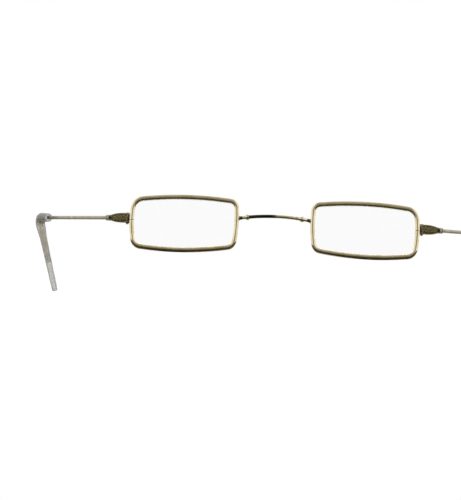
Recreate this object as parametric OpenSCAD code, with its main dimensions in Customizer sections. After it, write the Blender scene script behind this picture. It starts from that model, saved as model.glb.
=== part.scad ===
// Costume glasses with two small bowed rectangular wire rims, a thin arched bridge,
// flat leaf temple butts on three-knuckle hinges, and plastic ear sleeves.
// X runs across the front, -Y is forward and +Z is up. The glasses stand on Z = 0,
// on the bottoms of their rims and the tips of their ear sleeves.

/* [Rims] */
// Width of one rim over its outer faces
rim_w = 40.2; // [34:0.1:50]
// Height of one rim over its outer faces
rim_h = 21.4; // [18:0.1:30]
// Clear distance between the two rims
rim_gap = 26.3; // [22:0.1:34]
// Width of the rim bar, seen from the front
bar_w = 1.65; // [1.4:0.05:2.1]
// Depth of the rim bar, from front to back
bar_d = 2.1; // [1.8:0.05:2.8]
// Depth of the flats outside and inside the rim bar, between its domed front and back
bar_flat = 1.3; // [1.25:0.05:1.6]
// Bow radius of the top bar
top_bow_r = 130; // [90:1:300]
// Bow radius of the bottom bar
bottom_bow_r = 120; // [90:1:300]
// Bow radius of the bar on the temple side
outer_bow_r = 43; // [36:1:120]
// Bow radius of the bar on the nose side
nose_bow_r = 60; // [40:1:150]
// Distance of the top bow's crown towards the nose
top_crown_shift = 2; // [0:0.5:4]
// Distance of the bottom bow's crown towards the temple
bottom_crown_shift = 3; // [0:0.5:4]
// Height of the nose side's widest point above the rim's middle
nose_crown_rise = 2.5; // [0:0.5:4]
// Height of the temple side's widest point above the rim's middle
outer_crown_rise = 0.4; // [0:0.2:2]
// Outer radius of the upper corner on the temple side
upper_outer_corner_r = 5; // [3.2:0.1:6.5]
// Outer radius of the lower corner on the temple side
lower_outer_corner_r = 4; // [3.2:0.1:6.5]
// Outer radius of the lower corner on the nose side
lower_nose_corner_r = 3.8; // [3.2:0.1:6.5]
// Outer radius of the upper corner on the nose side
upper_nose_corner_r = 3.5; // [3.2:0.1:6.5]

/* [Lenses] */
// Thickness of a lens
lens_t = 1.2; // [1:0.05:1.5]
// Depth of the V groove inside the rim
groove_depth = 0.7; // [0.5:0.05:0.8]
// Width of the V groove at its mouth
groove_w = 1.1; // [1:0.05:1.2]
// Gap between the lens bevel's edge and the bottom of the groove
lens_gap = 0.1; // [0.07:0.01:0.15]

/* [Bridge] */
// Diameter of the bridge wire
bridge_d = 1.25; // [1:0.05:1.6]
// Height of the bridge's ends above the middle of the rims
bridge_up = 2.8; // [1:0.1:5]
// Rise of the bridge's middle above its ends
bridge_arch = 0.7; // [0.5:0.1:4]
// Distance that the bridge's middle stands forward of its ends
bridge_bow = 2.5; // [0:0.1:5]
// Diameter of a bridge collar
bridge_collar_d = 2.1; // [1.9:0.05:2.6]
// Length of a bridge collar
bridge_collar_l = 1.3; // [0.9:0.05:1.6]
// Distance of a collar's middle from the rim, along the bridge
bridge_collar_in = 3.3; // [1.5:0.1:5]

/* [Hinges] */
// Height of the temples' line at the hinge, above the middle of the rims
temple_up = 2.8; // [0.5:0.1:4]
// Distance of the hinge axis behind the back of the rim
hinge_back = 8; // [6.6:0.1:10]
// Distance of the hinge axis outside the widest point of the rim
hinge_out = 1.2; // [0.8:0.1:2]
// Diameter of the hinge knuckles
knuckle_d = 2.3; // [2.1:0.05:2.4]
// Height of the three knuckles together
hinge_h = 3.2; // [3:0.1:4.2]
// Height of the middle knuckle, which moves with the temple
middle_h = 1.2; // [1:0.05:1.6]
// Gap above and below the middle knuckle
knuckle_gap = 0.06; // [0.04:0.01:0.12]
// Diameter of the hinge screw's shank
hinge_screw_d = 1.1; // [0.9:0.05:1.2]
// Diameter of the hinge screw's head
hinge_head_d = 1.9; // [1.6:0.05:2.1]
// Height of the hinge screw's head
hinge_head_h = 0.4; // [0.3:0.05:0.8]
// Length of the hinge screw's end that shows below the last knuckle
hinge_screw_end = 0.6; // [0.1:0.05:0.8]
// Thickness of the plate that joins the front knuckles to the endpiece
front_plate_t = 0.6; // [0.4:0.05:0.8]
// Width of the webs between the front knuckles and their plate
web_w = 1.8; // [1.2:0.1:2]
// Height of the endpiece
endpiece_h = 2.6; // [2.4:0.1:4]
// Distance of the endpiece's middle below the temples' line
endpiece_drop = 0.8; // [0:0.1:1]
// Distance of the endpiece's outer face inside the rim's outer face
endpiece_inset = 0.2; // [0.1:0.05:0.3]
// Thickness of the hinge plate on the inside of the leaf
temple_plate_t = 0.7; // [0.5:0.05:0.8]
// Distance of that plate's front end behind the hinge axis
temple_plate_front = 1.6; // [1.5:0.1:2.5]
// Length of that plate
temple_plate_l = 4.8; // [3:0.1:7]
// Height of that plate
temple_plate_h = 2.3; // [1.6:0.1:2.6]
// Distance that the middle knuckle's arm runs over that plate
arm_lap = 0.5; // [0.3:0.1:1]

/* [Rim locks] */
// Width of the slit that splits each rim under the endpiece
slit = 0.2; // [0.1:0.05:0.4]
// Height of the lock block under the slit
lock_h = 2; // [1.6:0.1:2.6]
// Length of the lock block, from the back of the rim
lock_l = 2; // [1.8:0.1:2.2]
// Diameter of the lock screw's shank
lock_screw_d = 0.9; // [0.7:0.05:1]
// Diameter of the lock screw's head
lock_head_d = 1.5; // [1.3:0.05:1.6]
// Height of the lock screw's head
lock_head_h = 0.45; // [0.3:0.05:0.6]
// Depth that the lock screw runs into the endpiece
lock_bite = 1.8; // [1.4:0.1:2.2]
// Width of the screwdriver slots
slot_w = 0.25; // [0.15:0.05:0.35]
// Depth of the screwdriver slots
slot_depth = 0.2; // [0.1:0.05:0.25]

/* [Temples] */
// Angle that each temple splays outwards from straight back
splay = 24; // [10:1:30]
// Angle that the temples rise towards the ears while the glasses stand
pitch = 8.8; // [6:0.1:14]
// Distance along the temple from the hinge axis to the corner of the ear bend
temple_l = 95; // [80:1:120]
// Distance that the leaf reaches forward of the hinge axis
leaf_front = 5.8; // [2.8:0.1:6]
// Length of the leaf behind the hinge axis
leaf_l = 12; // [10:0.5:28]
// Thickness of the leaf
leaf_t = 1.2; // [1:0.05:1.6]
// Height of the leaf at its front end
leaf_front_h = 2.8; // [2:0.1:3]
// Greatest height of the leaf
leaf_h = 3.6; // [3:0.1:4.5]
// Height of the leaf at its back end
leaf_tail_h = 1.9; // [0.8:0.1:2.2]
// Distance of the leaf's greatest height behind the hinge axis
leaf_belly = 0; // [-2:0.5:6]
// Power of the leaf's taper: a higher one keeps it broad for longer
leaf_taper = 2.5; // [1.2:0.1:3]
// Radius of the leaf's domed outer face
leaf_dome_r = 3.8; // [2.8:0.1:8]
// Diameter of the temple wire
wire_d = 1.4; // [1.2:0.05:1.6]
// Length of the leaf's round tang inside the collar
tang_l = 1.2; // [0.8:0.1:1.6]
// Diameter of the collar between leaf and wire
temple_collar_d = 2.2; // [2.1:0.05:2.8]
// Length of the collar between leaf and wire
temple_collar_l = 4.4; // [2:0.1:5]
// Depth of the two grooves round that collar
collar_groove = 0.2; // [0.1:0.05:0.3]

/* [Ear sleeves] */
// Angle that the ear bend turns the temple downwards
ear_turn = 82; // [50:1:86]
// Angle that the ear leg cants inwards, towards the head
ear_cant = 22; // [0:1:25]
// Radius of the ear bend along the wire's middle
bend_r = 4.5; // [3:0.1:8]
// Length of the sleeve ahead of the ear bend
sleeve_lead = 8; // [5:0.5:20]
// Diameter of the sleeve at its mouth
sleeve_mouth_d = 3.4; // [3.1:0.1:4]
// Diameter of the sleeve round the ear bend
sleeve_d = 3.9; // [3.5:0.1:4.5]
// Diameter of the sleeve at the foot of the neck under the ear bend
neck_d = 2.9; // [2.7:0.1:3.4]
// Share of the leg above the tip that the neck takes
neck_share = 0.25; // [0.15:0.05:0.5]
// Diameter of the sleeve's tip
tip_d = 2.4; // [2:0.05:2.6]
// Length of the straight round tip
tip_l = 8; // [5:0.5:12]
// Length of the wire inside the ear leg
core_l = 15; // [8:0.5:18]
// Length and width of the flare inside the sleeve's mouth
mouth_flare = 0.5; // [0.2:0.1:0.6]

/* [Fits] */
// Radial clearance of the temple knuckle round the hinge screw
running_gap = 0.05; // [0.02:0.01:0.09]
// Gap between pieces that are brazed, pressed or screwed together
seat_gap = 0.03; // [0.01:0.01:0.05]
// Gap between the leaf's inner face and the endpiece, which stops the temple
stop_gap = 0.08; // [0.05:0.01:0.15]
// Gap between the leaf's inner face and the knuckles
leaf_gap = 0.15; // [0.1:0.01:0.3]
// Gap between the middle knuckle and the plate ahead of it
swing_gap = 0.1; // [0.06:0.01:0.15]
// Radial gap between the wire and the bore of the sleeve
sleeve_gap = 0.05; // [0.02:0.01:0.1]

/* [Hidden] */

// The wearer's right is on the -X side.
right = -1;
left = 1;

// Finishes
gold = "#c9a45c";
dark_gold = "#4a3c20";
clear = [0.85, 0.92, 0.95, 0.35];
vinyl = [0.55, 0.54, 0.5, 0.8];

// Smoothness of small round forms, of the long bows and of the bar's domes
$fn = 48;
bow_fn = 256;
dome_fn = 64;

// A small overlap that keeps cuts clean
cut = 0.2;

// A bend is a hair thicker than the straight stretches, which end a short lap inside it.
hair = 0.02;
lap = 0.1;

// One rim, drawn as four bowed sides and four corners. Its u axis points to the temple
// and its v axis up, from the rim's middle. Sides run clockwise from the top.
side_r = [top_bow_r, outer_bow_r, bottom_bow_r, nose_bow_r];
side_c = [
    [-top_crown_shift, rim_h / 2 - top_bow_r],
    [rim_w / 2 - outer_bow_r, outer_crown_rise],
    [bottom_crown_shift, bottom_bow_r - rim_h / 2],
    [nose_bow_r - rim_w / 2, nose_crown_rise],
];
corner_r = [
    upper_outer_corner_r,
    lower_outer_corner_r,
    lower_nose_corner_r,
    upper_nose_corner_r,
];

// Where two circles meet, on the right of the line from the first centre to the second
function meet(c1, r1, c2, r2) =
    let (
        d = c2 - c1,
        along = (r1 * r1 - r2 * r2 + d * d) / (2 * norm(d)),
        across = sqrt(r1 * r1 - along * along)
    )
    c1 + (along * d + across * [d.y, -d.x]) / norm(d);

function heading(from, to) = atan2(to.y - from.y, to.x - from.x);

// Clockwise turn from one heading to another, between 0 and 360 degrees
function turn(a0, a1) = (a0 - a1) - 360 * floor((a0 - a1) / 360);

function next(i) = (i + 1) % 4;
function before(i) = (i + 3) % 4;

corner_c = [
    for (i = [0:3])
        meet(
            side_c[i], side_r[i] - corner_r[i],
            side_c[next(i)], side_r[next(i)] - corner_r[i]
        )
];

// Points of one arc, moved inwards by inset
function arc_points(c, r, a0, a1, inset, steps) = [
    for (k = [0:steps - 1])
        let (a = a0 - turn(a0, a1) * k / steps)
        c + (r - inset) * [cos(a), sin(a)]
];

// Points along a side and along a corner where an outline is drawn point by point
side_steps = 16;
corner_steps = 8;

// The rim's whole outline, moved inwards by inset
function outline(inset) = [
    for (i = [0:3])
        each concat(
            arc_points(
                side_c[i], side_r[i],
                heading(side_c[i], corner_c[before(i)]), heading(side_c[i], corner_c[i]),
                inset, side_steps
            ),
            arc_points(
                corner_c[i], corner_r[i],
                heading(side_c[i], corner_c[i]), heading(side_c[next(i)], corner_c[i]),
                inset, corner_steps
            )
        )
];

// Heights and places that pieces share
rim_out_x = rim_gap / 2 + rim_w;
rim_mid_x = rim_gap / 2 + rim_w / 2;
rim_mid_z = rim_h / 2;
rim_back_y = bar_d / 2;
bar_dome = (bar_d - bar_flat) / 2;
bar_dome_r = (bar_w * bar_w / 4 + bar_dome * bar_dome) / (2 * bar_dome);
temple_z = rim_mid_z + temple_up;
hinge_x = rim_out_x + hinge_out;
hinge_y = rim_back_y + hinge_back;
knuckle_r = knuckle_d / 2;
wire_r = wire_d / 2;

// The leaf's inner face and middle plane, outwards from the hinge axis
leaf_in = knuckle_r + leaf_gap;
leaf_mid = leaf_in + leaf_t / 2;

// The front half of the hinge: its plate stands just ahead of the middle knuckle.
outer_h = (hinge_h - middle_h) / 2 - knuckle_gap;
front_plate_back = -(knuckle_r + swing_gap);
front_plate_front = front_plate_back - front_plate_t;
front_plate_in = -knuckle_r;

// The stop face of the endpiece, outwards from the hinge axis
stop_x = leaf_in - stop_gap;

// A place given in the hinge's own axes, outwards and back, in the plan of the left side
function from_hinge(out, back) = [
    hinge_x + out * cos(splay) + back * sin(splay),
    hinge_y - out * sin(splay) + back * cos(splay)
];

// The lock: the slit lies under the endpiece, and the screw stands behind the rim bar.
slit_top = temple_z - endpiece_drop - endpiece_h / 2;
slit_bottom = slit_top - slit;
lock_in_x = rim_out_x - bar_w;
lock_out_x = rim_out_x - endpiece_inset;
lock_axis = [(lock_in_x + lock_out_x) / 2, rim_back_y + lock_l / 2];

// Pieces behind the rim start at the back edge of the bar's flats, and are coped to its dome.
cope_y = bar_flat / 2;

// The lens: its bevel keeps the slope of the groove, so that it seats evenly.
bevel_edge = bar_w - groove_depth + lens_gap;
bevel_end = bevel_edge + lens_t / groove_w * groove_depth;
lens_band = 0.4;

// The ear bend starts where the wire leaves its straight line.
bend_start = temple_l - bend_r * tan(ear_turn / 2);
leg_back = bend_start + bend_r * sin(ear_turn);
leg_drop = bend_r * (1 - cos(ear_turn));

// Height and depth, in the whole, of a place given in the temple's axes: out, back and up
function temple_to_z(p) = temple_z + p.y * sin(pitch) + p.z * cos(pitch);
function temple_to_y(p) =
    hinge_y - (leaf_mid + p.x) * sin(splay) + (p.y * cos(pitch) - p.z * sin(pitch)) * cos(splay);

// The leg's start, and the way it points
leg_start = [-leg_drop * sin(ear_cant), leg_back, -leg_drop * cos(ear_cant)];
leg_way = [-sin(ear_turn) * sin(ear_cant), cos(ear_turn), -sin(ear_turn) * cos(ear_cant)];
leg_way_z = temple_to_z(leg_way) - temple_to_z([0, 0, 0]);
leg_way_y = temple_to_y(leg_way) - temple_to_y([0, 0, 0]);

// The leg's length lets the lowest edge of its tip stand on Z = 0.
tip_r = tip_d / 2;
leg_l = (temple_to_z(leg_start) - tip_r * sqrt(1 - leg_way_z * leg_way_z)) / -leg_way_z;
neck_l = neck_share * (leg_l - tip_l);

// The origin lies under the middle of the whole.
front_y = min(-bar_d / 2, -bridge_bow - bridge_d / 2);
back_y = temple_to_y(leg_start + leg_l * leg_way) + tip_r * sqrt(1 - leg_way_y * leg_way_y);
mid_y = (front_y + back_y) / 2;

// The bridge is one arc, in a plane that leans forward.
bridge_r = bridge_d / 2;
bridge_z = rim_mid_z + bridge_up;
bridge_rise = norm([bridge_bow, bridge_arch]);
bridge_arc_r = (rim_gap * rim_gap / 4 + bridge_rise * bridge_rise) / (2 * bridge_rise);
bridge_half_turn = asin(rim_gap / 2 / bridge_arc_r);
bridge_lean = atan2(bridge_arch, -bridge_bow);

// Placing

module side(s) {
    translate([0, -mid_y, 0]) mirror([s == right ? 1 : 0, 0, 0]) children();
}

module at_rim() {
    translate([rim_mid_x, 0, rim_mid_z]) rotate([90, 0, 0]) children();
}

module at_hinge() {
    translate([hinge_x, hinge_y, temple_z]) rotate([0, 0, -splay]) children();
}

module on_temple() {
    at_hinge() translate([leaf_mid, 0, 0]) rotate([pitch, 0, 0]) children();
}

module at_bend() {
    on_temple() translate([0, bend_start, 0]) rotate([0, ear_cant, 0]) children();
}

module on_leg() {
    at_bend()
        translate([0, bend_r * sin(ear_turn), -leg_drop])
            rotate([-ear_turn, 0, 0])
                children();
}

// A round bar along Y, from y0 to y1
module bar(y0, y1, r0, r1) {
    translate([0, y0, 0]) rotate([-90, 0, 0]) cylinder(h = y1 - y0, r1 = r0, r2 = r1);
}

module bend(r) {
    translate([0, 0, -bend_r])
        rotate([0, -90, 0])
            rotate_extrude(angle = ear_turn)
                translate([bend_r, 0])
                    circle(r = r);
}

// A turned profile, whose x is the distance inwards from the rim's outer face
module turned(c, r, a0, a1, fn) {
    translate([c.x, c.y, 0])
        rotate([0, 0, a1])
            rotate_extrude(angle = turn(a0, a1), $fn = fn)
                translate([r, 0])
                    mirror([1, 0])
                        children();
}

// The first child is the profile of the sides, and the second that of the corners that
// follow them. The sides are 0 on top, 1 at the temple, 2 below and 3 at the nose.
module around_rim(sides = [0:3]) {
    for (i = sides) {
        spare = lap / side_r[i] * 180 / PI;
        turned(
            side_c[i], side_r[i],
            heading(side_c[i], corner_c[before(i)]) + spare,
            heading(side_c[i], corner_c[i]) - spare,
            bow_fn
        )
            children(0);
        turned(
            corner_c[i], corner_r[i],
            heading(side_c[i], corner_c[i]), heading(side_c[next(i)], corner_c[i]),
            $fn
        )
            children(1);
    }
}

// Rims and lenses

// The bar's cross-section before it is grooved, swollen by more on every side: two domes
// between two flats. Its x runs inwards and its y forward.
module bar_outside(more) {
    intersection() {
        translate([bar_w / 2, bar_d / 2 - bar_dome_r]) circle(r = bar_dome_r + more, $fn = dome_fn);
        translate([bar_w / 2, bar_dome_r - bar_d / 2]) circle(r = bar_dome_r + more, $fn = dome_fn);
        translate([-more, -bar_d]) square([bar_w + 2 * more, 2 * bar_d]);
    }
}

module bar_section(more) {
    reach = groove_depth + cut;
    half_w = groove_w / 2 * reach / groove_depth;
    difference() {
        bar_outside(more);
        translate([bar_w - groove_depth + 2 * more, 0])
            polygon([[0, 0], [reach, -half_w], [reach, half_w]]);
    }
}

module rim(s) {
    color(gold)
        side(s)
            difference() {
                at_rim()
                    around_rim() {
                        bar_section(0);
                        bar_section(hair);
                    }
                translate([rim_out_x - 2 * bar_w, -bar_d, slit_bottom])
                    cube([3 * bar_w, 2 * bar_d, slit]);
            }
}

// The lens's edge, swollen by more, as a narrow band along the rim
module bevel_section(more) {
    y = lens_t / 2;
    polygon([
        [bevel_edge - more, 0],
        [bevel_end - more, y],
        [bevel_end + lens_band, y],
        [bevel_end + lens_band, -y],
        [bevel_end - more, -y],
    ]);
}

module lens(s) {
    color(clear)
        side(s)
            at_rim() {
                around_rim() {
                    bevel_section(0);
                    bevel_section(hair);
                }
                translate([0, 0, -lens_t / 2])
                    linear_extrude(lens_t)
                        polygon(outline(bevel_end + lens_band / 2));
            }
}

// Bridge

module at_bridge() {
    translate([0, 0, bridge_z])
        rotate([bridge_lean, 0, 0])
            translate([0, bridge_rise - bridge_arc_r, 0])
                children();
}

// The wire runs a little too far, and its ends are cut flush with the rims.
module bridge() {
    spare = 3;
    color(gold)
        side(left)
            intersection() {
                at_bridge()
                    rotate([0, 0, 90 - bridge_half_turn - spare])
                        rotate_extrude(angle = 2 * (bridge_half_turn + spare), $fn = bow_fn)
                            translate([bridge_arc_r, 0])
                                circle(r = bridge_r, $fn = 48);
                translate([-rim_gap / 2, -rim_w, 0])
                    cube([rim_gap, 2 * rim_w, 2 * rim_h]);
            }
}

module bridge_collar(s) {
    at = bridge_half_turn - bridge_collar_in / bridge_arc_r * 180 / PI;
    hole_r = bridge_r + seat_gap;
    color(gold)
        side(s)
            at_bridge()
                rotate([0, 0, 90 - at])
                    translate([bridge_arc_r, 0, 0])
                        rotate([90, 0, 0])
                            difference() {
                                intersection() {
                                    sphere(d = bridge_collar_d);
                                    cylinder(h = bridge_collar_l, d = 2 * bridge_collar_d, center = true);
                                }
                                cylinder(h = 2 * bridge_collar_d, r = hole_r, center = true);
                            }
}

// Endpieces and rim locks

// Hollows a piece to sit on the domed back of the bar with the gap of a seat
module coped() {
    difference() {
        children();
        at_rim()
            around_rim([0, 1]) {
                bar_outside(seat_gap);
                bar_outside(seat_gap + hair);
            }
    }
}

// It runs back from the rim, and its slanting end stops the leaf and holds the hinge.
module endpiece(s) {
    plan = [
        [lock_in_x, cope_y],
        [lock_out_x, cope_y],
        from_hinge(stop_x, -leaf_front),
        from_hinge(stop_x, front_plate_front),
        from_hinge(front_plate_in, front_plate_front),
    ];
    color(dark_gold)
        side(s)
            difference() {
                coped() translate([0, 0, slit_top]) linear_extrude(endpiece_h) polygon(plan);
                translate([lock_axis.x, lock_axis.y, slit_top - cut])
                    cylinder(h = lock_bite + 2 * cut, d = lock_screw_d + 2 * seat_gap);
            }
}

module lock_block(s) {
    color(gold)
        side(s)
            difference() {
                coped()
                    translate([lock_in_x, cope_y, slit_bottom - lock_h])
                        cube([lock_out_x - lock_in_x, rim_back_y + lock_l - cope_y, lock_h]);
                translate([lock_axis.x, lock_axis.y, slit_bottom - lock_h - cut])
                    cylinder(h = lock_h + 2 * cut, d = lock_screw_d + 2 * seat_gap);
            }
}

module slotted_head(d, h) {
    difference() {
        cylinder(h = h, d = d);
        translate([-d, -slot_w / 2, h - slot_depth]) cube([2 * d, slot_w, 2 * slot_depth]);
    }
}

module lock_screw(s) {
    color(dark_gold)
        side(s)
            translate([lock_axis.x, lock_axis.y, slit_bottom - lock_h]) {
                cylinder(h = lock_h + slit + lock_bite, d = lock_screw_d);
                mirror([0, 0, 1]) slotted_head(lock_head_d, lock_head_h);
            }
}

// Hinges

module front_hinge(s) {
    color(dark_gold)
        side(s)
            at_hinge()
                difference() {
                    union() {
                        translate([front_plate_in, front_plate_front, -hinge_h / 2])
                            cube([stop_x - front_plate_in, front_plate_t, hinge_h]);
                        for (z = [-hinge_h / 2, hinge_h / 2 - outer_h]) {
                            translate([0, 0, z]) cylinder(h = outer_h, r = knuckle_r);
                            translate([-web_w / 2, front_plate_front, z])
                                cube([web_w, -front_plate_front, outer_h]);
                        }
                    }
                    cylinder(h = 2 * hinge_h, d = hinge_screw_d + 2 * seat_gap, center = true);
                }
}

module hinge_screw(s) {
    color(dark_gold)
        side(s)
            at_hinge() {
                translate([0, 0, -hinge_h / 2 - hinge_screw_end])
                    cylinder(h = hinge_h + hinge_screw_end, d = hinge_screw_d);
                translate([0, 0, hinge_h / 2]) slotted_head(hinge_head_d, hinge_head_h);
            }
}

module temple_hinge(s) {
    color(dark_gold)
        side(s)
            difference() {
                union() {
                    at_hinge() {
                        cylinder(h = middle_h, r = knuckle_r, center = true);
                        translate([0, 0, -middle_h / 2])
                            cube([leaf_in, temple_plate_front + arm_lap, middle_h]);
                    }
                    on_temple()
                        translate([
                            -leaf_t / 2 - temple_plate_t,
                            temple_plate_front,
                            -temple_plate_h / 2,
                        ])
                            cube([temple_plate_t, temple_plate_l, temple_plate_h]);
                }
                at_hinge()
                    cylinder(h = 2 * hinge_h, d = hinge_screw_d + 2 * running_gap, center = true);
            }
}

// Temples

// Half the leaf's height at a place along it: it is highest at the belly
function leaf_half(y) =
    let (
        share = y < leaf_belly
            ? pow((leaf_belly - y) / (leaf_belly + leaf_front), 2)
            : pow((y - leaf_belly) / (leaf_l - leaf_belly), leaf_taper),
        end_h = y < leaf_belly ? leaf_front_h : leaf_tail_h
    )
    leaf_h / 2 - share * (leaf_h - end_h) / 2;

module temple_leaf(s) {
    steps = 20;
    ys = [for (k = [0:steps]) -leaf_front + (leaf_l + leaf_front) * k / steps];
    upper = [for (y = ys) [y, leaf_half(y)]];
    lower = [for (k = [steps:-1:0]) [ys[k], -leaf_half(ys[k])]];
    color(dark_gold)
        side(s)
            on_temple() {
                intersection() {
                    translate([-leaf_t / 2, 0, 0])
                        rotate([90, 0, 90])
                            linear_extrude(leaf_t)
                                polygon(concat(upper, lower));
                    translate([leaf_t / 2 - leaf_dome_r, 0, 0])
                        bar(-leaf_front - cut, leaf_l + cut, leaf_dome_r, leaf_dome_r);
                }
                bar(leaf_l - tang_l, leaf_l + tang_l, wire_r, wire_r);
            }
}

module temple_collar(s) {
    r = temple_collar_d / 2;
    groove = collar_groove;
    third = temple_collar_l / 3;
    color(gold)
        side(s)
            on_temple()
                translate([0, leaf_l + seat_gap, 0])
                    rotate([-90, 0, 0])
                        rotate_extrude()
                            polygon([
                                [wire_r + seat_gap, 0],
                                [r - groove, 0],
                                [r, groove],
                                [r, third - groove],
                                [r - groove, third],
                                [r, third + groove],
                                [r, 2 * third - groove],
                                [r - groove, 2 * third],
                                [r, 2 * third + groove],
                                [r, temple_collar_l - groove],
                                [r - groove, temple_collar_l],
                                [wire_r + seat_gap, temple_collar_l],
                            ]);
}

module temple_wire(s) {
    color(gold)
        side(s) {
            on_temple() bar(leaf_l + tang_l + seat_gap, bend_start + lap, wire_r, wire_r);
            at_bend() bend(wire_r + hair);
            on_leg() bar(-lap, core_l, wire_r, wire_r);
        }
}

module ear_sleeve(s) {
    mouth = bend_start - sleeve_lead;
    bore_r = wire_r + sleeve_gap;
    color(vinyl)
        side(s)
            difference() {
                union() {
                    on_temple() bar(mouth, bend_start + lap, sleeve_mouth_d / 2, sleeve_d / 2);
                    at_bend() bend(sleeve_d / 2 + hair);
                    on_leg()
                        rotate([-90, 0, 0])
                            rotate_extrude()
                                polygon([
                                    [0, -lap],
                                    [sleeve_d / 2, -lap],
                                    [neck_d / 2, neck_l],
                                    [tip_r, leg_l - tip_l],
                                    [tip_r, leg_l],
                                    [0, leg_l],
                                ]);
                }
                on_temple() {
                    bar(mouth - cut, bend_start + lap, bore_r, bore_r);
                    bar(mouth - cut, mouth + mouth_flare, bore_r + mouth_flare, bore_r);
                }
                at_bend() bend(bore_r + hair);
                on_leg() bar(-lap, leg_l + cut, bore_r, bore_r);
            }
}

rim(right);  // rim_right
rim(left);  // rim_left
lens(right);  // lens_right
lens(left);  // lens_left
bridge();
bridge_collar(right);  // bridge_collar_right
bridge_collar(left);  // bridge_collar_left
endpiece(right);  // endpiece_right
endpiece(left);  // endpiece_left
lock_block(right);  // lock_block_right
lock_block(left);  // lock_block_left
lock_screw(right);  // lock_screw_right
lock_screw(left);  // lock_screw_left
front_hinge(right);  // front_hinge_right
front_hinge(left);  // front_hinge_left
hinge_screw(right);  // hinge_screw_right
hinge_screw(left);  // hinge_screw_left
temple_hinge(right);  // temple_hinge_right
temple_hinge(left);  // temple_hinge_left
temple_leaf(right);  // temple_leaf_right
temple_leaf(left);  // temple_leaf_left
temple_collar(right);  // temple_collar_right
temple_collar(left);  // temple_collar_left
temple_wire(right);  // temple_wire_right
temple_wire(left);  // temple_wire_left
ear_sleeve(right);  // ear_sleeve_right
ear_sleeve(left);  // ear_sleeve_left
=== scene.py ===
"""Looks of the costume glasses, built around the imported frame. Metres, +Z up, -Y is the front."""

import math

import bmesh
import bpy
from mathutils import Matrix, Vector, noise


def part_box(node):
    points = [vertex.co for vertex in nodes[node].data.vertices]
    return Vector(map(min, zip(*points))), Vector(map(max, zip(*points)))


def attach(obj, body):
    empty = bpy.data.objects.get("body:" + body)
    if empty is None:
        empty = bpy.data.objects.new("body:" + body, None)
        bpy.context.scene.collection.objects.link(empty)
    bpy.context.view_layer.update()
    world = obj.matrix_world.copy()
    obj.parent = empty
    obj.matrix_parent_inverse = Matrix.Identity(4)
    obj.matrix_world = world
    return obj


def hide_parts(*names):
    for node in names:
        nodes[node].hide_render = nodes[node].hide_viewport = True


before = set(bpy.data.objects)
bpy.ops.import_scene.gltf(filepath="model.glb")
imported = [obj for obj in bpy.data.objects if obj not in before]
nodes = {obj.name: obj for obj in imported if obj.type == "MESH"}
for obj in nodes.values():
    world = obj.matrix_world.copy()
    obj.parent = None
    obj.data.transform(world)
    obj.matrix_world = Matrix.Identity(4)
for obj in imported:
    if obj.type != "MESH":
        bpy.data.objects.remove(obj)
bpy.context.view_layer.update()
MM = 0.001
SIDES = {"right": -1, "left": 1}

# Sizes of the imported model, in millimetres

# Rim: its bar, the groove in it, and the slit below the endpiece
RIM_W, RIM_H, RIM_GAP = 40.2, 21.4, 26.3
BAR_W, BAR_D, BAR_FLAT = 1.65, 2.1, 1.3
GROOVE_DEPTH, GROOVE_W = 0.7, 1.1
SLIT, ENDPIECE_H, ENDPIECE_DROP = 0.2, 2.6, 0.8
# Bows of the top, temple, bottom and nose side, and the corner that follows each
SIDE_R = [130.0, 43.0, 120.0, 60.0]
SIDE_C = [(-2.0, RIM_H / 2 - SIDE_R[0]), (RIM_W / 2 - SIDE_R[1], 0.4),
          (3.0, SIDE_R[2] - RIM_H / 2), (SIDE_R[3] - RIM_W / 2, 2.5)]
CORNER_R = [5.0, 4.0, 3.8, 3.5]
BRIDGE_D, BRIDGE_UP, BRIDGE_ARCH, BRIDGE_BOW = 1.25, 2.8, 0.7, 2.5
# Plane of the lenses, the hinge axis and the temple's angles
HINGE_OUT, HINGE_BACK, TEMPLE_UP = 1.2, 8.0, 2.8
LENS_Y = sum(corner.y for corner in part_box("lens_left")) / 2 / MM
HINGE_X = RIM_GAP / 2 + RIM_W + HINGE_OUT
HINGE_Y = LENS_Y + BAR_D / 2 + HINGE_BACK
TEMPLE_Z = RIM_H / 2 + TEMPLE_UP
SPLAY, PITCH = math.radians(24), math.radians(8.8)
# Leaf, with its distance outwards from the hinge axis
LEAF_FRONT, LEAF_L, LEAF_T, LEAF_MID = 5.8, 12.0, 1.2, 1.9
LEAF_FRONT_H, LEAF_H, LEAF_TAIL_H = 2.8, 3.6, 1.9
LEAF_BELLY, LEAF_TAPER, LEAF_DOME_R = 0.0, 2.5, 3.8
# Wire and its collar
WIRE_R, TANG_L, SEAT_GAP = 0.7, 1.2, 0.03
COLLAR_R, COLLAR_L, COLLAR_GROOVE, COLLAR_BEADS = 1.1, 4.4, 0.2, 3
# Ear bend, and the sleeve over it
TEMPLE_L, TURN, CANT, BEND_R = 95.0, math.radians(82), math.radians(22), 4.5
BEND_START = TEMPLE_L - BEND_R * math.tan(TURN / 2)
SLEEVE_LEAD, NECK_SHARE, TIP_L, CORE_L = 8.0, 0.25, 8.0, 15.0
MOUTH_R, SLEEVE_R, NECK_R, TIP_R, BORE_R = 1.7, 1.95, 1.45, 1.2, 0.75

# Fineness of the meshes

SIDE_STEPS, CORNER_STEPS = 40, 22
DOME_STEPS, SECTION_POINTS, SECTION_PASSES = 24, 110, 2
BRIDGE_STEPS, BRIDGE_POINTS = 120, 40
TUBE_STEP, BEND_STEPS = 0.35, 26
WIRE_POINTS, SLEEVE_POINTS, COLLAR_POINTS = 32, 44, 40
LEAF_STEPS_Y, LEAF_STEPS_Z, TANG_STEPS, BEAD_STEPS = 190, 30, 12, 12


def sigmoid(x, at, width):
    """0 well below the given place and 1 well above it."""
    return 1 / (1 + math.exp(-(x - at) / width))


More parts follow.
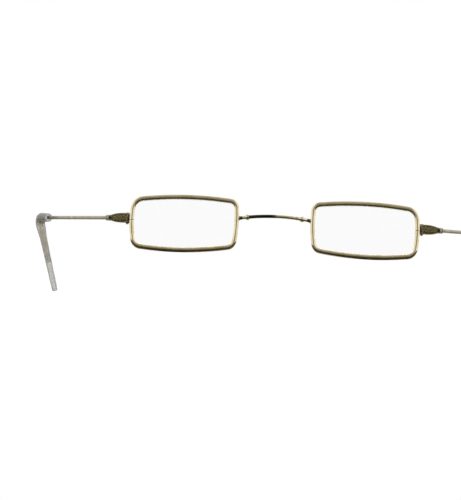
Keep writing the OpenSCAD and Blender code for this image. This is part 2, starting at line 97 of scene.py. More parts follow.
def peak(x, at, width):
    """1 at the given place, and 0 well away from it."""
    return math.exp(-((x - at) / width) ** 2)


# Helpers for shader nodes

# A colour mix's two inputs and its output, by number, because their names repeat for each kind of value
MIX_A, MIX_B, MIX_RESULT = 6, 7, 2


def shader(name):
    m = bpy.data.materials.new(name)
    m.use_nodes = True
    return m, m.node_tree, m.node_tree.nodes["Principled BSDF"]


def node(tree, kind, **settings):
    """A new node with its sockets and properties set by name."""
    n = tree.nodes.new(kind)
    for key, value in settings.items():
        if key in n.inputs:
            n.inputs[key].default_value = value
        else:
            setattr(n, key, value)
    return n


def plug(source, socket):
    """Links a socket to the source, or sets it where the source is a plain value."""
    if isinstance(source, bpy.types.NodeSocket):
        source.id_data.links.new(source, socket)
    else:
        socket.default_value = source


def fill(n, sources):
    """Plugs each source into the node's socket of that name."""
    for name, source in sources.items():
        plug(source, n.inputs[name])


def object_place(tree):
    return tree.nodes.new("ShaderNodeTexCoord").outputs["Object"]


def attribute(tree, name):
    return node(tree, "ShaderNodeAttribute", attribute_name=name).outputs["Fac"]


def noise_of(place, scale, detail=3.0, rough=0.55):
    """Noise over a piece, with its scale per metre."""
    n = node(place.id_data, "ShaderNodeTexNoise", Scale=scale, Detail=detail, Roughness=rough)
    plug(place, n.inputs["Vector"])
    return n.outputs["Fac"]


def split(place):
    n = place.id_data.nodes.new("ShaderNodeSeparateXYZ")
    plug(place, n.inputs[0])
    return n.outputs


def ramp(source, stops):
    n = source.id_data.nodes.new("ShaderNodeValToRGB")
    elements = n.color_ramp.elements
    while len(elements) < len(stops):
        elements.new(0.5)
    for element, (at, colour) in zip(elements, stops):
        element.position = at
        element.color = (*colour, 1)
    plug(source, n.inputs["Fac"])
    return n.outputs["Color"]


def to_range(source, low, high):
    n = source.id_data.nodes.new("ShaderNodeMapRange")
    fill(n, {"To Min": low, "To Max": high, "Value": source})
    return n.outputs["Result"]


def step(source, low, high, below=0.0, above=1.0):
    """Runs smoothly from one value below low to another above high."""
    n = node(source.id_data, "ShaderNodeMapRange", interpolation_type="SMOOTHSTEP")
    fill(n, {"From Min": low, "From Max": high, "To Min": below, "To Max": above, "Value": source})
    return n.outputs["Result"]


def maths(operation, *sources):
    n = node(sources[0].id_data, "ShaderNodeMath", operation=operation)
    for source, socket in zip(sources, n.inputs):
        plug(source, socket)
    return n.outputs[0]


def mixed(tree, factor, first, second, blend="MIX"):
    n = node(tree, "ShaderNodeMix", data_type="RGBA", blend_type=blend)
    plug(factor, n.inputs["Factor"])
    plug(first, n.inputs[MIX_A])
    plug(second, n.inputs[MIX_B])
    return n.outputs[MIX_RESULT]


def times(first, second):
    return mixed(first.id_data, 1.0, first, second, "MULTIPLY")


def mixed_shaders(factor, first, second):
    n = factor.id_data.nodes.new("ShaderNodeMixShader")
    for source, socket in zip((factor, first, second), n.inputs):
        plug(source, socket)
    return n.outputs[0]


def bump(bsdf, source, strength, distance):
    """Fine relief in the shading, with its distance in metres."""
    n = node(bsdf.id_data, "ShaderNodeBump", Strength=strength, Distance=distance)
    plug(source, n.inputs["Height"])
    plug(n.outputs["Normal"], bsdf.inputs["Normal"])


# Materials


def plated(name, bright, deep, rough):
    """Thin plating: slow changes of tone, darker where the mesh's attribute asks (on the bridge, painted
    shade and painted dark reflections), fine wear in the gloss.
    """
    m, tree, bsdf = shader(name)
    place = object_place(tree)
    tone = ramp(noise_of(place, 420), [(0.3, deep), (0.62, bright)])
    patches = noise_of(place, 1500, detail=4, rough=0.6)
    # Painted darkening: the attribute adds to the noise patches, and on the bridge it is painted shade and
    # painted dark reflections.
    stain_and_shade = maths("MULTIPLY_ADD", patches, 0.9, attribute(tree, "tarnish_and_shade"))
    stained_and_shaded = ramp(stain_and_shade, [(0.62, (1, 1, 1)), (0.95, (0.42, 0.42, 0.43)), (1.0, (0.32, 0.31, 0.30))])
    darkened = step(stain_and_shade, 1.0, 1.45, below=1.0, above=0.16)
    fill(bsdf, {
        "Base Color": times(times(tone, stained_and_shaded), darkened),
        "Metallic": 1.0,
        "Roughness": to_range(noise_of(place, 2600, detail=4), rough * 0.6, rough * 1.5)})
    bump(bsdf, noise_of(place, 5200, detail=5, rough=0.7), strength=0.10, distance=0.00003)
    return m


def antiqued(name):
    """Nearly black ground, with the gold showing through on what stands proud."""
    m, tree, bsdf = shader(name)
    place = object_place(tree)
    grime = noise_of(place, 1900, detail=5, rough=0.65)
    proud = maths("MULTIPLY_ADD", grime, 0.9, attribute(tree, "relief"))
    fill(bsdf, {
        "Base Color": ramp(proud, [
            (0.40, (0.068, 0.060, 0.036)), (0.72, (0.145, 0.128, 0.078)),
            (0.95, (0.25, 0.220, 0.134)), (1.0, (0.34, 0.300, 0.182))]),
        "Metallic": 1.0,
        "Specular Tint": (0.30, 0.29, 0.265, 1),
        "Roughness": to_range(grime, 0.52, 0.3)})
    bump(bsdf, noise_of(place, 3800, detail=4, rough=0.7), strength=0.35, distance=0.00004)
    return m


def vinyl(name):
    """Soft clear sleeve gone cloudy: grey-brown round the bend, and grey towards both ends, with painted
    shade along its outline.
    """
    m, tree, bsdf = shader(name)
    place = object_place(tree)
    patches = noise_of(place, 300, detail=4, rough=0.6)
    cloud = maths("MULTIPLY_ADD", patches, 0.5, attribute(tree, "aged"))
    colour = ramp(cloud, [
        (0.2, (0.62, 0.63, 0.60)), (0.55, (0.73, 0.72, 0.675)), (1.0, (0.74, 0.705, 0.63))])
    # Painted shade: the base colour darkens where the skin is seen at a slant, towards the sleeve's outline.
    slant = node(tree, "ShaderNodeLayerWeight", Blend=0.5).outputs["Facing"]
    edge = ramp(slant, [(0.10, (1, 1, 1)), (0.60, (0.30, 0.30, 0.31))])
    # The soft bore grips the wire, so that its own skin doesn't show. The cut end at the mouth is dull.
    fill(bsdf, {
        "Base Color": times(colour, edge),
        "Alpha": attribute(tree, "outside"),
        "Transmission Weight": to_range(attribute(tree, "dull"), 0.6, 0.1),
        "IOR": 1.4,
        "Roughness": to_range(noise_of(place, 500, detail=2), 0.12, 0.26)})
    bump(bsdf, noise_of(place, 300, detail=1, rough=0.5), strength=0.2, distance=0.00012)
    return m


def lens_plastic(name):
    """Clear polished plastic, with a faint haze of use."""
    m, tree, bsdf = shader(name)
    haze = noise_of(object_place(tree), 160, detail=5, rough=0.7)
    fill(bsdf, {
        "Base Color": ramp(haze, [(0.3, (0.965, 0.975, 0.97)), (0.7, (0.99, 0.995, 0.99))]),
        "Transmission Weight": 1.0,
        "IOR": 1.49,
        "Roughness": to_range(haze, 0.0, 0.035)})
    return m


gold = plated("gold_plate", (0.92, 0.83, 0.61), (0.78, 0.64, 0.38), 0.16)
screw = plated("screw_metal", (0.66, 0.57, 0.38), (0.44, 0.37, 0.23), 0.26)
dark = antiqued("antique_gold")
sleeve = vinyl("sleeve_vinyl")
clear = lens_plastic("clear_lens")


# Helpers for meshes


def skin(name, rings, closed=False, sharp=40, attributes=None):
    """A skin over rings of points in millimetres: each ring is closed, and they follow one another.

    The attributes are rows of values, one for each ring.
    """
    count, n = len(rings), len(rings[0])
    verts = [Vector(p) * MM for ring in rings for p in ring]
    faces = []
    for i in range(count if closed else count - 1):
        a, b = i * n, (i + 1) % count * n
        faces += [(a + k, a + (k + 1) % n, b + (k + 1) % n, b + k) for k in range(n)]
    if not closed:
        faces += [tuple(range(n - 1, -1, -1)), tuple((count - 1) * n + k for k in range(n))]
    mesh = bpy.data.meshes.new(name)
    mesh.from_pydata(verts, [], faces)
    mesh.validate()
    for key, rows in (attributes or {}).items():
        layer = mesh.attributes.new(key, "FLOAT", "POINT")
        layer.data.foreach_set("value", [value for row in rows for value in row])
    ob = bpy.data.objects.new(name, mesh)
    bpy.context.scene.collection.objects.link(ob)
    bm = bmesh.new()
    bm.from_mesh(mesh)
    bmesh.ops.recalc_face_normals(bm, faces=bm.faces)
    bm.to_mesh(mesh)
    bm.free()
    mesh.polygons.foreach_set("use_smooth", [True] * len(mesh.polygons))
    mesh.set_sharp_from_angle(angle=math.radians(sharp))
    return ob


def dress(ob, material, body, stands_for):
    """Gives a piece its material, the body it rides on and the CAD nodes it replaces."""
    ob.data.materials.append(material)
    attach(ob, body)
    if stands_for:
        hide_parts(*stands_for)


def circle_points(n):
    return [(math.cos(2 * math.pi * k / n), math.sin(2 * math.pi * k / n)) for k in range(n)]


def resample(points, n):
    """n points evenly spaced round a closed outline."""
    total = [0.0]
    for a, b in zip(points, points[1:] + points[:1]):
        total.append(total[-1] + math.dist(a, b))
    out, i = [], 0
    for k in range(n):
        want = total[-1] * k / n
        while total[i + 1] < want:
            i += 1
        a, b = points[i], points[(i + 1) % len(points)]
        t = (want - total[i]) / (total[i + 1] - total[i])
        out.append((a[0] + (b[0] - a[0]) * t, a[1] + (b[1] - a[1]) * t))
    return out


def soften(points, passes):
    """Rounds the corners of a closed outline a little with each pass."""
    for _ in range(passes):
        points = [((a[0] + 2 * b[0] + c[0]) / 4, (a[1] + 2 * b[1] + c[1]) / 4)
                  for a, b, c in zip(points[-1:] + points[:-1], points, points[1:] + points[:1])]
    return points


def eased(near, radius):
    """How far a rounded end of the given radius falls back, near the end of a piece."""
    return radius * (1 - math.sqrt(max(0, 1 - (1 - min(1, near / radius)) ** 2)))


# Rims


def meet(c1, r1, c2, r2):
    """The crossing of two circles that is the centre of the corner between two bows."""
    dx, dy = c2[0] - c1[0], c2[1] - c1[1]
    d = math.hypot(dx, dy)
    along = (r1 * r1 - r2 * r2 + d * d) / (2 * d)
    across = math.sqrt(r1 * r1 - along * along)
    return (c1[0] + (along * dx + across * dy) / d, c1[1] + (along * dy - across * dx) / d)


CORNER_C = [meet(SIDE_C[i], SIDE_R[i] - CORNER_R[i], SIDE_C[(i + 1) % 4], SIDE_R[(i + 1) % 4] - CORNER_R[i])
            for i in range(4)]


def heading(a, b):
    return math.atan2(b[1] - a[1], b[0] - a[0])


def rim_track():
    """Outer outline, clockwise, as (point, outward direction)."""
    track = []
    for i in range(4):
        before, after = (i + 3) % 4, (i + 1) % 4
        side_start = heading(SIDE_C[i], CORNER_C[before])
        corner_start = heading(SIDE_C[i], CORNER_C[i])
        corner_end = heading(SIDE_C[after], CORNER_C[i])
        for c, r, start, end, steps in (
                (SIDE_C[i], SIDE_R[i], side_start, corner_start, SIDE_STEPS),
                (CORNER_C[i], CORNER_R[i], corner_start, corner_end, CORNER_STEPS)):
            sweep = (start - end) % (2 * math.pi)
            for k in range(steps):
                a = start - sweep * k / steps
                d = (math.cos(a), math.sin(a))
                track.append(((c[0] + r * d[0], c[1] + r * d[1]), d))
    return track


def bar_section():
    """The bar's section, as (distance inwards, depth): two domes, two flats and the groove."""
    h, dome = BAR_W / 2, (BAR_D - BAR_FLAT) / 2
    r = (h * h + dome * dome) / (2 * dome)
    half = math.asin(h / r)
    front = [(h + r * math.sin(half * k / DOME_STEPS), BAR_D / 2 - r + r * math.cos(half * k / DOME_STEPS))
             for k in range(-DOME_STEPS, DOME_STEPS + 1)]
    back = [(x, -y) for x, y in reversed(front)]
    groove = [(BAR_W, GROOVE_W / 2), (BAR_W - GROOVE_DEPTH, 0), (BAR_W, -GROOVE_W / 2)]
    return soften(resample(front + groove + back, SECTION_POINTS), SECTION_PASSES)


def temple_bow(v):
    """Place and outward direction on the temple side's bow, at the given height."""
    c, r = SIDE_C[1], SIDE_R[1]
    a = math.asin((v - c[1]) / r)
    d = (math.cos(a), math.sin(a))
    return ((c[0] + r * d[0], c[1] + r * d[1]), d)


def split_track():
    """The outline cut open at the slit under the endpiece: it starts below the slit and ends above it."""
    top = TEMPLE_Z - ENDPIECE_DROP - ENDPIECE_H / 2 - RIM_H / 2
    low = top - SLIT
    spare, outwards, reach = 0.1, 0.9, 9
    track = rim_track()
    temple_side = [(p, d) for p, d in track if d[0] > outwards and p[0] > 0 and abs(p[1]) < reach]
    first = track.index(next((p, d) for p, d in temple_side if p[1] < low - spare))
    whole = [t for t in track[first:] + track[:first]
             if t not in temple_side or not low - spare <= t[0][1] <= top + spare]
    return [temple_bow(low)] + whole + [temple_bow(top)]


def rim_piece(side):
    s = SIDES[side]
    section = bar_section()
    mid_x, mid_z = RIM_GAP / 2 + RIM_W / 2, RIM_H / 2
    rings = [[(s * (mid_x + p[0] - x * d[0]), LENS_Y - y, mid_z + p[1] - x * d[1]) for x, y in section]
             for p, d in split_track()]
    ob = skin("rim_bar_" + side, rings, sharp=50)
    dress(ob, gold, "front", [nodes["rim_" + side].name])


for side in SIDES:
    rim_piece(side)


# Bridge


def bridge_painted_shade(x):
    """How dark the plating is painted: a painted dark reflection from near one rim to the middle, painted
    shade by both rims, and one more painted dark spot.
    """
    dark_from, dark_to, by_rim, spot = -10.6, 0.2, 12.2, 8.0
    middle = sigmoid(x, dark_from, 0.45) - sigmoid(x, dark_to, 0.5)
    return max(middle, peak(abs(x), by_rim, 0.55), 0.35 * peak(x, spot, 0.8))


def bridge_piece():
    # The radius is a hair under the solid's, and flares at both ends, where the wire is brazed to the rims.
    under, flare, flare_l = 0.012, 0.28, 0.45
    rise = math.hypot(BRIDGE_BOW, BRIDGE_ARCH)
    arc_r = (RIM_GAP ** 2 / 4 + rise ** 2) / (2 * rise)
    half = math.asin(RIM_GAP / 2 / arc_r)
    lean = math.atan2(BRIDGE_ARCH, -BRIDGE_BOW)
    rings, tarnish_and_shade = [], []
    for k in range(BRIDGE_STEPS + 1):
        a = math.pi / 2 + half - 2 * half * k / BRIDGE_STEPS
        radial = Vector((math.cos(a), math.sin(a), 0))
        centre = radial * arc_r + Vector((0, rise - arc_r, 0))
        away = arc_r * (half - abs(math.pi / 2 - a))
        r = BRIDGE_D / 2 - under + flare * peak(away, 0, flare_l)
        row = []
        for u, v in circle_points(BRIDGE_POINTS):
            p = centre + radial * (u * r) + Vector((0, 0, v * r))
            x = max(-RIM_GAP / 2, min(RIM_GAP / 2, p.x))
            y = p.y * math.cos(lean) - p.z * math.sin(lean)
            z = p.y * math.sin(lean) + p.z * math.cos(lean)
            row.append((x, y + LENS_Y, z + RIM_H / 2 + BRIDGE_UP))
        rings.append(row)
        # The bridge's painted shade and painted dark reflection go into the darkening attribute.
        tarnish_and_shade.append([bridge_painted_shade(centre.x)] * BRIDGE_POINTS)
    ob = skin("bridge_wire", rings, attributes={"tarnish_and_shade": tarnish_and_shade})
    dress(ob, gold, "front", ["bridge"])


bridge_piece()


# Temples


def on_row(p, s):
    """A place in the temple's own axes (out, back, up), in the row, in millimetres."""
    x = p[0] + LEAF_MID
    y = p[1] * math.cos(PITCH) - p[2] * math.sin(PITCH)
    z = p[1] * math.sin(PITCH) + p[2] * math.cos(PITCH)
    return (s * (HINGE_X + x * math.cos(SPLAY) + y * math.sin(SPLAY)),
            HINGE_Y - x * math.sin(SPLAY) + y * math.cos(SPLAY), TEMPLE_Z + z)


def bent(t):
    """Place and direction on the ear bend, after a turn of t."""
    drop = BEND_R * (1 - math.cos(t))
    return (Vector((-drop * math.sin(CANT), BEND_START + BEND_R * math.sin(t), -drop * math.cos(CANT))),
            Vector((-math.sin(t) * math.sin(CANT), math.cos(t), -math.sin(t) * math.cos(CANT))))


def leg_length():
    """The leg's length, which lets the lowest edge of its tip stand on the table."""
    foot, way = bent(TURN)
    fall = -(way.y * math.sin(PITCH) + way.z * math.cos(PITCH))
    height = TEMPLE_Z + foot.y * math.sin(PITCH) + foot.z * math.cos(PITCH)
    return (height - TIP_R * math.sqrt(1 - fall * fall)) / fall


LEG_L = leg_length()
NECK_L = NECK_SHARE * (LEG_L - TIP_L)


def ear_track(start, end_on_leg):
    """Places along the wire's middle, from one on the temple to one on the leg.

    Each is (place, direction, far), where far is the distance past the start of the ear bend.
    """
    track = []
    steps = max(2, int((BEND_START - start) / TUBE_STEP))
    for k in range(steps):
        y = start + (BEND_START - start) * k / steps
        track.append((Vector((0, y, 0)), Vector((0, 1, 0)), y - BEND_START))
    for k in range(BEND_STEPS):
        t = TURN * k / BEND_STEPS
        track.append((*bent(t), BEND_R * t))
    foot, way = bent(TURN)
    steps = max(2, int(end_on_leg / TUBE_STEP))
    for k in range(steps + 1):
        down = end_on_leg * k / steps
        track.append((foot + way * down, way, BEND_R * TURN + down))
    return track


ACROSS = Vector((math.cos(CANT), 0, -math.sin(CANT)))


def tube_rings(track, radius, s, count, wobble=None):
    """Rings round a track, with the radius a function of far, and a wobble as a share of it."""
    rings = []
    for p, way, far in track:
        other = way.cross(ACROSS)
        plain_r = radius(far)
        row = []
        for u, v in circle_points(count):
            r = plain_r * (1 + (wobble(p, u, v) if wobble else 0))
            row.append(on_row(p + ACROSS * (u * r) + other * (v * r), s))
        rings.append(row)
    return rings


def wire_piece(side):
    track = ear_track(LEAF_L + TANG_L + SEAT_GAP, CORE_L)
    rings = tube_rings(track, lambda far: WIRE_R, SIDES[side], WIRE_POINTS)
    # The plating is darker all along, and darker still over the last stretch ahead of the sleeve.
    dull, patches, grime, darker_from, darker_to = 0.53, 0.12, 0.37, -19, -SLEEVE_LEAD - 1.0
    tarnish_and_shade = []
    for p, way, far in track:
        near_sleeve = sigmoid(far, darker_from, 1.5) - sigmoid(far, darker_to, 0.2)
        tarnish_and_shade.append([dull + patches * noise.noise(p * 0.3) + grime * near_sleeve] * WIRE_POINTS)
    ob = skin("temple_bar_" + side, rings, attributes={"tarnish_and_shade": tarnish_and_shade})
    dress(ob, gold, "temple_" + side, ["temple_wire_" + side])


def sleeve_radius(far):
    """Radius of the sleeve's solid: wider to the bend, then narrower over the neck and down to the tip."""
    if far < 0:
        t = (far + SLEEVE_LEAD) / SLEEVE_LEAD
        return MOUTH_R + (SLEEVE_R - MOUTH_R) * t
    down = far - BEND_R * TURN
    if down < 0:
        return SLEEVE_R
    if down < NECK_L:
        return SLEEVE_R + (NECK_R - SLEEVE_R) * down / NECK_L
    t = min(1, (down - NECK_L) / (LEG_L - TIP_L - NECK_L))
    return NECK_R + (TIP_R - NECK_R) * t


def soft_radius(far):
    """The sleeve's radius with its kinks eased, its lips rounded and its last few millimetres run thin."""
    lip, thin, thin_l, apart, near = 0.16, 0.12, 5, 0.4, (-2, -1, 0, 1, 2)
    end = BEND_R * TURN + LEG_L
    smooth = sum(sleeve_radius(far + k * apart) for k in near) / len(near)
    return smooth - eased(min(far + SLEEVE_LEAD, end - far), lip) - thin * max(0, 1 - (end - far) / thin_l)


def sleeve_wobble(p, u, v):
    """The soft sleeve is slightly uneven, and never outside its solid."""
    share, along, around = 0.03, 0.35, 0.9
    return share * noise.noise(Vector((p.x + u * around, p.y * along + v * around, p.z * along))) - share


def sleeve_age(far, u, v):
    """How brown the sleeve has gone: most round the bend, and least down the leg and at the mouth."""
    brown, patches, fresh_from, soft = 0.70, 0.3, 17.5, 2.2
    fresh = 0.55 * sigmoid(far, fresh_from, soft) + 0.7 * peak(far, -SLEEVE_LEAD, soft)
    return brown - fresh + patches * noise.noise(Vector((u * 1.1, v * 1.1, far * 0.12)))


def sleeve_piece(side):
    s = SIDES[side]
    track = ear_track(BEND_START - SLEEVE_LEAD, LEG_L)
    rings = tube_rings(track, soft_radius, s, SLEEVE_POINTS, sleeve_wobble)
    # The soft lip closes round the wire, so the bore has no flare at the mouth.
    rings += reversed(tube_rings(track, lambda far: BORE_R, s, SLEEVE_POINTS))
    aged = [[sleeve_age(far, u, v) for u, v in circle_points(SLEEVE_POINTS)] for p, way, far in track]
    dull = [[peak(far, -SLEEVE_LEAD, 0.4)] * SLEEVE_POINTS for p, way, far in track]
    # The outer skin counts as outside, and so do the two rings where it turns in.
    shown = [1.0] * (len(track) + 1) + [0.0] * (len(track) - 2) + [1.0]
    ob = skin("ear_cover_" + side, rings, closed=True, sharp=55, attributes={
        "aged": aged + aged[::-1],
        "outside": [[value] * SLEEVE_POINTS for value in shown],
        "dull": dull + dull[::-1]})
    dress(ob, sleeve, "temple_" + side, ["ear_sleeve_" + side])


def leaf_half(y):
    """Half the leaf's height."""
    if y < LEAF_BELLY:
        share, end_h = ((LEAF_BELLY - y) / (LEAF_BELLY + LEAF_FRONT)) ** 2, LEAF_FRONT_H
    else:
        share, end_h = ((y - LEAF_BELLY) / (LEAF_L - LEAF_BELLY)) ** LEAF_TAPER, LEAF_TAIL_H
    return LEAF_H / 2 - share * (LEAF_H - end_h) / 2


def relief(y, z):
    """Height of the engraving, 0 in the ground and 1 on the polished border, vine and buds."""
    border_w, wave_l, vine_swing, vine_w = 0.26, 6.4, 0.55, 0.035
    border_h, vine_h, stipple_h, stipple_in = 0.9, 0.95, 0.42, 0.3
    bud_r, bud_stretch, bud_side, first_bud, last_bud = 0.42, 1.35, 0.62, -3, 7
    wave = 2 * math.pi / wave_l
    half = leaf_half(y)
    edge = min(half - abs(z), y + LEAF_FRONT, LEAF_L - y)
    border = border_h * sigmoid(edge, border_w, -0.05)
    vine_room = max(0.05, half - 0.5)
    swing = vine_swing * vine_room
    off = z - swing * math.sin(wave * y)
    slope = swing * wave * math.cos(wave * y)
    vine = math.exp(-(off * off / (1 + slope * slope)) / vine_w)
    buds = 0.0
    for k in range(first_bud, last_bud + 1):
        bud_y = (k + 0.5) * math.pi / wave
        bud_z = -bud_side * vine_room * math.sin(wave * bud_y)
        far = math.hypot((y - bud_y) / bud_stretch, z - bud_z) / bud_r
        buds = max(buds, math.exp(-far ** 4))
    stipple = 0.0
    if edge > stipple_in:
        stipple = stipple_h * (0.5 + 0.5 * noise.noise(Vector((y * 1.9, z * 3.1, 4.7))))
    return min(1.0, max(border, vine * vine_h, buds, stipple))


def leaf_ring(y):
    """One section of the leaf, as places in the temple's axes and the relief at each."""
    cut_depth, bare, round_front, round_tail = 0.13, 0.7, 0.35, 0.12
    # The two ends are eased round.
    shrink = eased(min(y + LEAF_FRONT, LEAF_L - y), round_front if y < 0 else round_tail)
    half = leaf_half(y) - shrink
    row, heights = [], []
    for k in range(LEAF_STEPS_Z + 1):
        z = half * (-1 + 2 * k / LEAF_STEPS_Z)
        out = LEAF_T / 2 - LEAF_DOME_R + math.sqrt(LEAF_DOME_R ** 2 - z * z)
        height = relief(y, z)
        row.append((out - cut_depth * (1 - height) - shrink * 0.5, y, z))
        heights.append(height)
    # The back is plain, with softened edges.
    inner = -LEAF_T / 2 + shrink * 0.3
    soft = min(0.15, half * 0.3)
    upper, lower = [row[k][0] * 0.35 + inner * 0.65 for k in (-1, 0)]
    back = [(upper, y, half), (inner + soft, y, half), (inner, y, half - soft), (inner, y, 0),
            (inner, y, -half + soft), (inner + soft, y, -half), (lower, y, -half)]
    return row + back, heights + [bare] * len(back)


def leaf_piece(side):
    s = SIDES[side]
    rings, heights = [], []
    for i in range(LEAF_STEPS_Y + 1):
        row, row_heights = leaf_ring(-LEAF_FRONT + (LEAF_L + LEAF_FRONT) * i / LEAF_STEPS_Y)
        rings.append([on_row(p, s) for p in row])
        heights.append(row_heights)
    ob = skin("leaf_plate_" + side, rings, sharp=60, attributes={"relief": heights})
    tang = []
    for k in range(TANG_STEPS + 1):
        y = LEAF_L - TANG_L + 2 * TANG_L * k / TANG_STEPS
        tang.append([on_row((WIRE_R * u, y, WIRE_R * v), s) for u, v in circle_points(WIRE_POINTS)])
    stub = skin("leaf_tang_" + side, tang)
    dress(stub, dark, "temple_" + side, [])
    dress(ob, dark, "temple_" + side, ["temple_leaf_" + side])


def collar_piece(side):
    s = SIDES[side]
    bead_l, fullness = COLLAR_L / COLLAR_BEADS, 5
    profile = [(0.0, WIRE_R + SEAT_GAP)]
    for bead in range(COLLAR_BEADS):
        for k in range(BEAD_STEPS + 1):
            u = k / BEAD_STEPS
            crest = math.sqrt(1 - abs(2 * u - 1) ** fullness)
            profile.append((bead_l * (bead + u), COLLAR_R - COLLAR_GROOVE + COLLAR_GROOVE * crest))
    profile.append((COLLAR_L, WIRE_R + SEAT_GAP))
    rings = [[on_row((r * u, LEAF_L + SEAT_GAP + y, r * v), s) for u, v in circle_points(COLLAR_POINTS)]
             for y, r in profile]
    dull, uneven = 0.66, 0.12
    tarnish_and_shade = [[dull + uneven * math.cos(y * 2.2)] * COLLAR_POINTS for y, r in profile]
    ob = skin("temple_ferrule_" + side, rings, closed=True, sharp=50, attributes={"tarnish_and_shade": tarnish_and_shade})
    dress(ob, gold, "temple_" + side, ["temple_collar_" + side])


for side in SIDES:
    wire_piece(side)
    sleeve_piece(side)
    leaf_piece(side)
    collar_piece(side)


# Materials of the small parts that stay as the CAD gives them

FINISH = {"lens": clear, "lock_screw": screw, "hinge_screw": screw, "bridge_collar": gold, "endpiece": dark,
          "lock_block": gold, "front_hinge": dark, "temple_hinge": dark}
for name, ob in nodes.items():
    finish = FINISH.get(name.rsplit("_", 1)[0])
    if finish is not None:
        if not ob.material_slots:
            ob.data.materials.append(finish)
        for material_slot in ob.material_slots:
            material_slot.material = finish


# Floor and room


def floor_paper():
    """Pale paper, which runs into the white backdrop, and is clear to see through from below."""
    dark_y, dark_reach, fade_reach = (-0.0534, -0.0520), (0.12, 0.34), (0.22, 0.60)
    m, tree, bsdf = shader("floor_paper")
    place = object_place(tree)
    path = tree.nodes.new("ShaderNodeLightPath").outputs
    length = node(tree, "ShaderNodeVectorMath", operation="LENGTH")
    plug(place, length.inputs[0])
    reach = length.outputs["Value"]
    paper = ramp(noise_of(place, 3), [(0.3, (0.83, 0.83, 0.825)), (0.7, (0.86, 0.86, 0.855))])
    # Mirrored in the metal, the floor just ahead of the rims is dark, for the photograph's dark lower edges.
    mirrored = maths("SUBTRACT", path["Is Glossy Ray"], path["Is Transmission Ray"])
    pale = maths("MAXIMUM", step(split(place)["Y"], *dark_y), step(reach, *dark_reach))
    shade = ramp(pale, [(0.0, (0.050, 0.041, 0.020)), (1.0, (0.42, 0.41, 0.37))])
    fill(bsdf, {
        "Base Color": mixed(tree, mirrored, paper, shade),
        "Roughness": 0.9,
        "Specular IOR Level": 0.1})
    # Away from the glasses the floor runs into the white backdrop.
    sight = maths("MAXIMUM", path["Is Camera Ray"], path["Is Transmission Ray"])
    white = node(tree, "ShaderNodeEmission", Color=(1, 1, 1, 1), Strength=1.0)
    fading = maths("MULTIPLY", sight, step(reach, *fade_reach))
    faded = mixed_shaders(fading, bsdf.outputs[0], white.outputs[0])
    under = tree.nodes.new("ShaderNodeNewGeometry").outputs["Backfacing"]
    thin = tree.nodes.new("ShaderNodeBsdfTransparent")
    plug(mixed_shaders(under, faded, thin.outputs[0]), tree.nodes["Material Output"].inputs["Surface"])
    return m


def room():
    """The plain room: camera and transmitted rays see it white, and polished metal sees grey in front."""
    world = bpy.data.worlds.new("studio")
    bpy.context.scene.world = world
    world.use_nodes = True
    tree = world.node_tree
    way = split(tree.nodes.new("ShaderNodeTexCoord").outputs["Generated"])
    path = tree.nodes.new("ShaderNodeLightPath").outputs
    # Mirrored, it is white behind and at the sides, and paler grey overhead than in front.
    front, rear = (0.26, 0.25, 0.20), (0.95, 0.94, 0.92)
    behind = step(way["Y"], 0.0, 0.3)
    beside = step(maths("ABSOLUTE", way["X"]), 0.22, 0.55)
    above = maths("MULTIPLY", step(way["Z"], 0.45, 0.95), 0.38)
    mirrored = ramp(maths("MAXIMUM", maths("MAXIMUM", behind, beside), above), [(0.0, front), (1.0, rear)])
    # It gives every other ray an even light.
    even, white = (0.55, 0.55, 0.55, 1), (1, 1, 1, 1)
    seen = maths("MAXIMUM", path["Is Camera Ray"], path["Is Transmission Ray"])
    look = mixed(tree, path["Is Glossy Ray"], even, mirrored)
    plug(mixed(tree, seen, look, white), tree.nodes["Background"].inputs["Color"])


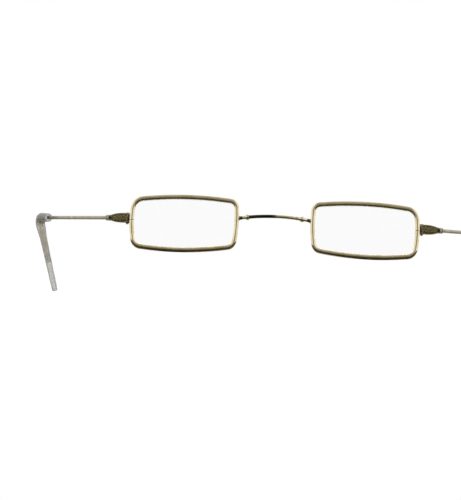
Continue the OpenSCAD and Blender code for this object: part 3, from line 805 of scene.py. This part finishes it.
FLOOR_HALF = 6.0
FLOOR_CORNERS = [(-1, -1), (1, -1), (1, 1), (-1, 1)]
floor_mesh = bpy.data.meshes.new("floor")
floor_mesh.from_pydata([(x * FLOOR_HALF, y * FLOOR_HALF, 0) for x, y in FLOOR_CORNERS], [], [(0, 1, 2, 3)])
floor_mesh.materials.append(floor_paper())
floor = bpy.data.objects.new("floor", floor_mesh)
bpy.context.scene.collection.objects.link(floor)
room()


# Lamps and camera


def lamp(name, at, to, size, watts, colour=(1, 1, 1)):
    """A soft lamp that stands at one place and shines towards another."""
    data = bpy.data.lights.new(name, "AREA")
    data.shape = "RECTANGLE"
    data.size, data.size_y = size
    data.energy = watts
    data.color = colour
    ob = bpy.data.objects.new(name, data)
    ob.location = at
    ob.rotation_euler = (Vector(to) - Vector(at)).to_track_quat("-Z", "Y").to_euler()
    # The metal mirrors the plain room, and not the lamps' outlines.
    ob.visible_glossy = False
    ob.visible_camera = False
    bpy.context.scene.collection.objects.link(ob)


WARM = (1, 0.985, 0.95)
lamp("soft_left", at=(-1.0, -0.25, 0.5), to=(0, 0, 0.02), size=(0.7, 1.3), watts=5.5, colour=WARM)
lamp("soft_right", at=(1.0, -0.25, 0.5), to=(0, 0, 0.02), size=(0.7, 1.3), watts=5.5, colour=WARM)
lamp("soft_top", at=(0, 0.1, 1.1), to=(0, 0, 0), size=(0.8, 0.6), watts=3.0)

# The camera stands where the photograph's did, worked out from the glasses' places in it.
EYE = Vector((-0.0053837, -1.0368492, -0.1695205))
YAW, TILT, ROLL = -0.01058029, 0.17199075, 0.04132064
camera = bpy.data.cameras.new("camera")
camera.lens = 196.0
camera.sensor_width = 36.0
camera.sensor_fit = "AUTO"
camera.clip_end = 30
eye = bpy.data.objects.new("camera", camera)
forward = Vector((math.sin(YAW) * math.cos(TILT), math.cos(YAW) * math.cos(TILT), math.sin(TILT)))
level = Vector((math.cos(YAW), -math.sin(YAW), 0))
upright = level.cross(forward)
right = level * math.cos(ROLL) + upright * math.sin(ROLL)
up = upright * math.cos(ROLL) - level * math.sin(ROLL)
eye.matrix_world = Matrix.Translation(EYE) @ Matrix((right, up, -forward)).transposed().to_4x4()
bpy.context.scene.collection.objects.link(eye)
bpy.context.scene.camera = eye

bpy.context.scene.view_settings.view_transform = "Standard"
bpy.context.view_layer.update()
